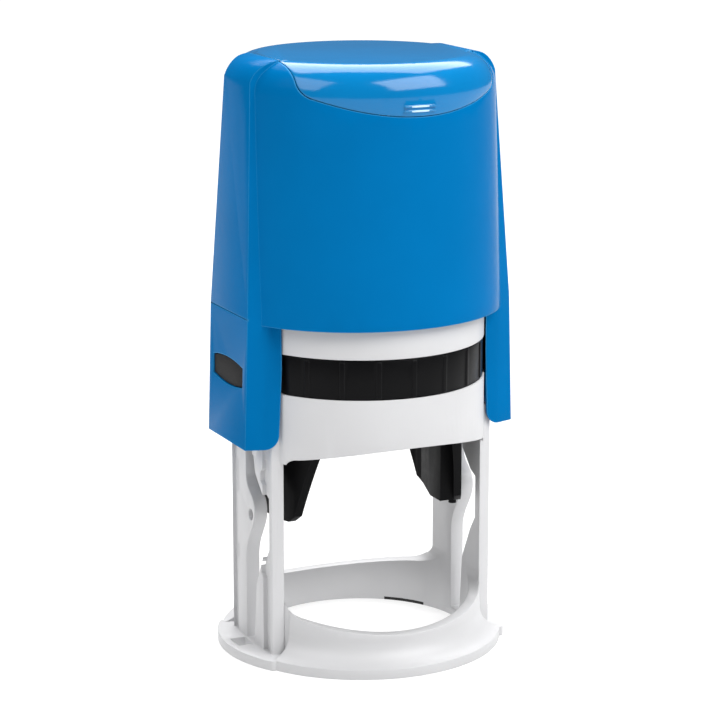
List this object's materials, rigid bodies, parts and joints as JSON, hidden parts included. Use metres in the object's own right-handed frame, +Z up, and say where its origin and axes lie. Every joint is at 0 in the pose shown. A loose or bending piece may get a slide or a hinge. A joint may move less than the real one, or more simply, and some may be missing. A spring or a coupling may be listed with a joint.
{
  "type": "self inking stamp",
  "caption": "Round self inking stamp: sprung blue cap over a white slotted frame, with a flip-over platen, ink tray and side lock buttons.",
  "frame": {"origin": "centre of the base underside, on the surface the stamp stands on", "axes": "+Z up along the cap's travel, +X to the stamp's right, -Y to its front"},
  "size_m": [0.0576, 0.0552, 0.116],
  "materials": {
    "frame_plastic": "fine satin moulded plastic, light grey white",
    "tray_plastic": "satin black moulded plastic",
    "felt": "ink soaked felt",
    "foot_rubber": "matt black rubber",
    "cap_plastic": "glossy saturated blue moulded plastic",
    "cover_plastic": "high gloss saturated blue moulded plastic",
    "card": "plain white card",
    "bow_steel": "zinc plated strip",
    "pin_steel": "turned steel",
    "spring_wire": "drawn spring wire",
    "platen_plastic": "satin black moulded plastic",
    "plate_plastic": "dark grey moulded plastic",
    "foam": "pale adhesive foam",
    "die_rubber": "red brown laser cut rubber",
    "button_plastic": "fine grained dark grey plastic"
  },
  "bodies": {
    "frame": {"base_frame": "frame_plastic", "upper_frame": "frame_plastic", "foot_pad_rear_right": "foot_rubber", "foot_pad_rear_left": "foot_rubber", "foot_pad_front_left": "foot_rubber", "foot_pad_front_right": "foot_rubber"},
    "tray": {"ink_tray": "tray_plastic", "ink_felt": "felt"},
    "cap": {"cap_shell": "cap_plastic", "label_card": "card", "drive_bow": "bow_steel", "axle_pin_right": "pin_steel", "axle_pin_left": "pin_steel", "spring_seat": "platen_plastic", "return_spring": "spring_wire"},
    "platen": {"platen_carrier": "platen_plastic", "die_plate": "plate_plastic", "die_foam": "foam", "rubber_die": "die_rubber"},
    "cover": {"top_cover": "cover_plastic"},
    "lock_left": {"lock_button_left": "button_plastic"},
    "lock_right": {"lock_button_right": "button_plastic"}
  },
  "joints": [
    {"name": "cap_press", "type": "slide", "parent": "frame", "child": "cap", "axis": [0, 0, -1], "range_m": [0, 0.038], "stiffness_N_per_m": 350, "springref_m": -0.012, "deforming": ["return_spring"]},
    {"name": "platen_flip", "type": "hinge", "parent": "cap", "child": "platen", "pos_m": [0, 0, 0.0457], "axis": [1, 0, 0], "range_deg": [0, 180]},
    {"name": "cover_lift", "type": "slide", "parent": "cap", "child": "cover", "axis": [0, 0, 1], "range_m": [0, 0.012]},
    {"name": "lock_left_push", "type": "slide", "parent": "cap", "child": "lock_left", "axis": [1, 0, 0], "range_m": [0, 0.001], "stiffness_N_per_m": 1500, "springref_m": -0.0005},
    {"name": "lock_right_push", "type": "slide", "parent": "cap", "child": "lock_right", "axis": [-1, 0, 0], "range_m": [0, 0.001], "stiffness_N_per_m": 1500, "springref_m": -0.0005},
    {"name": "tray_slide", "type": "slide", "parent": "frame", "child": "tray", "axis": [0, 1, 0], "range_m": [-0.045, 0]}
  ],
  "couplings": [
    {"joint": "platen_flip", "follows": "cap_press", "rad_per_m": 82.673}
  ]
}
